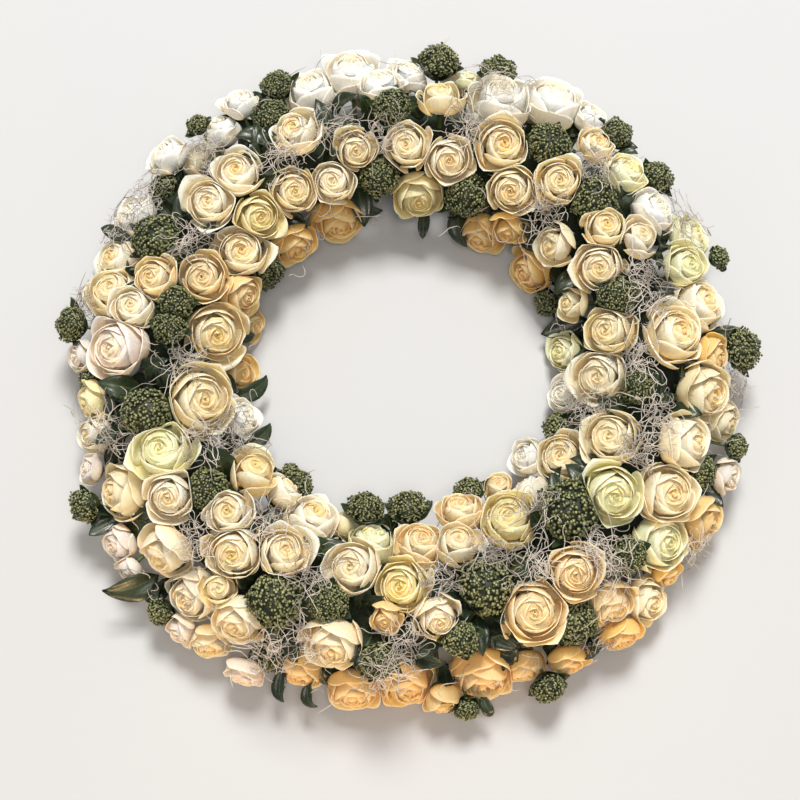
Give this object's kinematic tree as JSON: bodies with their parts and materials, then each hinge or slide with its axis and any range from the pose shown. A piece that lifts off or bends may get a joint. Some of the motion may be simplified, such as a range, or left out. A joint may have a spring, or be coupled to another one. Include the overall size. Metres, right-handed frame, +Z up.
{
  "type": "wreath",
  "caption": "Round flower wreath laid flat: packed cream rose heads, skimmia heads and dark leaves in a foam ring that stands in a shallow tray.",
  "frame": {"origin": "middle of the wreath's box, on the surface that the tray rests on", "axes": "+Z up out of the surface, +Y towards the top edge of the wreath as the picture shows it, +X to its right"},
  "size_m": [0.6946, 0.6754, 0.1226],
  "materials": {
    "petals": "soft matt petals, cream with warm hearts",
    "skimmia": "small matt buds, grey green",
    "leaves": "dark glossy leathery leaves",
    "moss": "dry curly grey moss",
    "stems": "green stems",
    "foam": "wet floral foam, matt dark green",
    "tray": "dark green moulded plastic"
  },
  "bodies": {
    "root": {"foam_ring": "foam", "rose_spray_01": "petals", "rose_spray_02": "petals", "rose_spray_03": "petals", "rose_spray_04": "petals", "rose_spray_05": "petals", "rose_spray_06": "petals", "rose_spray_07": "petals", "rose_spray_08": "petals", "rose_spray_09": "petals", "rose_spray_10": "petals", "rose_spray_11": "petals", "rose_spray_12": "petals", "rose_spray_13": "petals", "rose_spray_14": "petals", "rose_spray_15": "petals", "rose_spray_16": "petals", "rose_spray_17": "petals", "rose_spray_18": "petals", "rose_spray_19": "petals", "rose_spray_20": "petals", "rose_spray_21": "petals", "rose_spray_22": "petals", "rose_spray_23": "petals", "rose_spray_24": "petals", "skimmia_sprig_01": "skimmia", "skimmia_sprig_02": "skimmia", "skimmia_sprig_03": "skimmia", "skimmia_sprig_04": "skimmia", "skimmia_sprig_05": "skimmia", "skimmia_sprig_06": "skimmia", "skimmia_sprig_07": "skimmia", "skimmia_sprig_08": "skimmia", "skimmia_sprig_09": "skimmia", "skimmia_sprig_10": "skimmia", "skimmia_sprig_11": "skimmia", "skimmia_sprig_12": "skimmia", "skimmia_sprig_13": "skimmia", "skimmia_sprig_14": "skimmia", "skimmia_sprig_15": "skimmia", "skimmia_sprig_16": "skimmia", "skimmia_sprig_17": "skimmia", "skimmia_sprig_18": "skimmia", "skimmia_sprig_19": "skimmia", "skimmia_sprig_20": "skimmia", "skimmia_sprig_21": "skimmia", "skimmia_sprig_22": "skimmia", "skimmia_sprig_23": "skimmia", "skimmia_sprig_24": "skimmia", "skimmia_sprig_25": "skimmia", "skimmia_sprig_26": "skimmia", "skimmia_sprig_27": "skimmia", "skimmia_sprig_28": "skimmia", "tray": "tray"}
  },
  "joints": []
}
